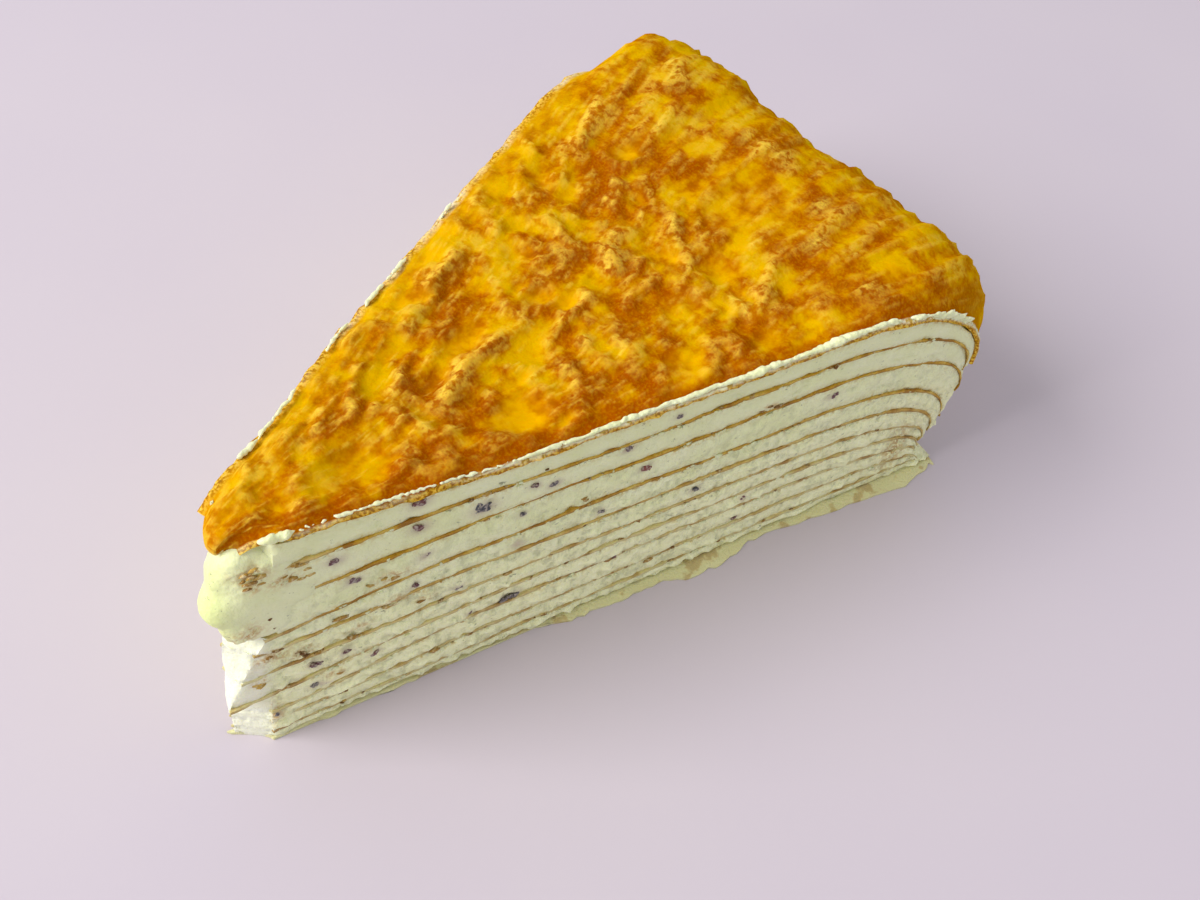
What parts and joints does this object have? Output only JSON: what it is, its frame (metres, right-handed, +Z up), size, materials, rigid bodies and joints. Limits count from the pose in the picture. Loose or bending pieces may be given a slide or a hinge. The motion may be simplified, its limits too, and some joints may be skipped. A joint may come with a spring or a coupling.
{
  "type": "mille crepe cake slice",
  "caption": "Wedge of mille crepe cake: thin crepes with cream and fruit bits between them, under a browned, blistered top crepe that hangs over the rim.",
  "frame": {"origin": "middle of the slice's bounding box, on the surface that it rests on", "axes": "+X from the tip to the cake's outer rim, +Y from the near cut to the far cut, +Z up"},
  "size_m": [0.1062, 0.0668, 0.0417],
  "materials": {
    "crepe": "thin cooked crepe batter, soft and matt, golden at its cut edge",
    "cream": "whipped cream, soft satin, with knife marks, small pits and bits of fruit",
    "browned_crepe": "pan-browned crepe, orange-brown with paler blisters, slightly buttery sheen"
  },
  "bodies": {
    "root": {"base_crepe": "crepe", "crepe_1": "crepe", "crepe_2": "crepe", "crepe_3": "crepe", "crepe_4": "crepe", "crepe_5": "crepe", "crepe_6": "crepe", "crepe_7": "crepe", "crepe_8": "crepe", "crepe_9": "crepe", "cream_1": "cream", "cream_2": "cream", "cream_3": "cream", "cream_4": "cream", "cream_5": "cream", "cream_6": "cream", "cream_7": "cream", "cream_8": "cream", "cream_9": "cream", "cream_10": "cream", "tip_cream": "cream", "browned_crepe": "browned_crepe"}
  },
  "joints": []
}
